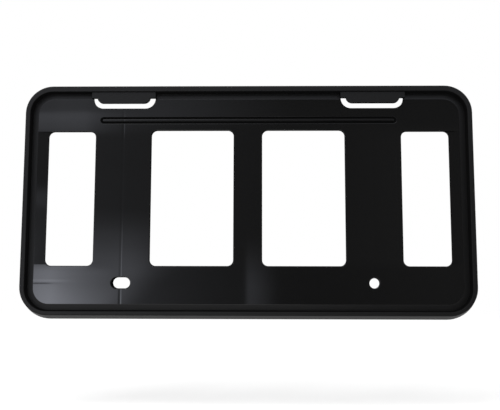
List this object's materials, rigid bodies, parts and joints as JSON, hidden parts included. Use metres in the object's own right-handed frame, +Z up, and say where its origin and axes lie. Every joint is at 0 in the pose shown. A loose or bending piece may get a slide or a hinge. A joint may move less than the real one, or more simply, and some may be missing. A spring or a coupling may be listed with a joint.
{
  "type": "number plate holder",
  "caption": "Glossy black moulded frame with a raised rim, open windows, upper edge clips and lower screw holes; holds a number plate on a vehicle.",
  "frame": {"origin": "on the rear plane, which rests on the vehicle, behind the middle of the plate", "axes": "+X to the right as seen from the front, +Y to the rear into the vehicle, +Z up"},
  "size_m": [0.325, 0.012, 0.169],
  "materials": {
    "black_plastic": "moulded, polished"
  },
  "bodies": {
    "root": {"plate_holder": "black_plastic"}
  },
  "joints": []
}
